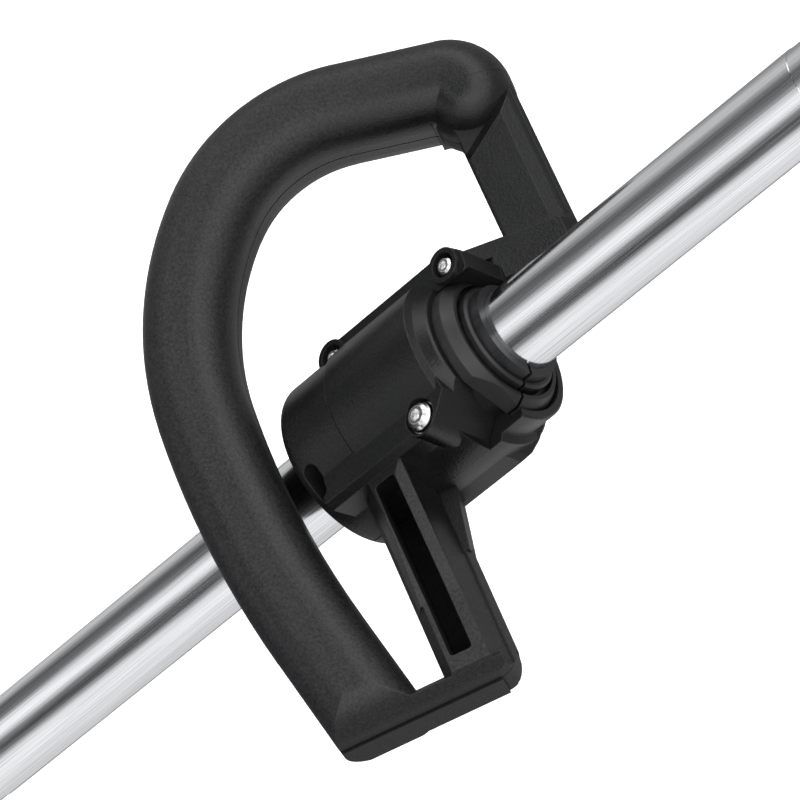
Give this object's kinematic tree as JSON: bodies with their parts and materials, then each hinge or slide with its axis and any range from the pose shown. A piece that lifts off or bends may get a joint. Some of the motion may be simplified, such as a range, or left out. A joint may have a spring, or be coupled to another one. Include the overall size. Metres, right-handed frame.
{
  "type": "string trimmer loop handle with shaft tube section",
  "caption": "Loop grip handle clamped on a shaft tube section: it slides and turns on the tube, and a drive shaft runs inside.",
  "frame": {"origin": "centre of the shaft tube's rear end", "axes": "+X along the shaft tube towards the cutting end, +Z out of the side that the clamp screw's head is on, +Y towards the loop's short upper end"},
  "size_m": [0.474, 0.1994, 0.0873],
  "materials": {
    "bright_tube": "bright drawn, fine lengthwise lines",
    "shaft_steel": "ground, lightly oiled",
    "carrier_rubber": "matte moulded",
    "bearing_bronze": "sintered, oily",
    "sleeve_plastic": "smooth satin",
    "bush_rubber": "smooth moulded",
    "shell_plastic": "fine moulded grain, satin",
    "screw_steel": "bright plated",
    "insert_brass": "turned and knurled"
  },
  "bodies": {
    "shaft": {"shaft_tube": "bright_tube", "rear_carrier": "carrier_rubber", "rear_bearing": "bearing_bronze", "mid_carrier": "carrier_rubber", "mid_bearing": "bearing_bronze", "front_carrier": "carrier_rubber", "front_bearing": "bearing_bronze"},
    "drive": {"drive_shaft": "shaft_steel"},
    "slider": {"sliding_sleeve": "sleeve_plastic"},
    "handle": {"rear_bush": "bush_rubber", "front_bush": "bush_rubber", "handle_near": "shell_plastic", "handle_far": "shell_plastic", "clamp_screw": "screw_steel", "clamp_washer": "screw_steel", "clamp_nut": "screw_steel", "upper_screws": "screw_steel", "upper_inserts": "insert_brass", "loop_screws": "screw_steel"}
  },
  "joints": [
    {"name": "drive_spin", "type": "hinge", "parent": "shaft", "child": "drive", "pos_m": [0.225, 0, 0], "axis": [1, 0, 0], "continuous": true},
    {"name": "handle_slide", "type": "slide", "parent": "shaft", "child": "slider", "axis": [1, 0, 0], "range_m": [-0.07, 0.07]},
    {"name": "handle_turn", "type": "hinge", "parent": "slider", "child": "handle", "pos_m": [0.245, 0, 0], "axis": [1, 0, 0], "range_deg": [-30, 30]}
  ]
}
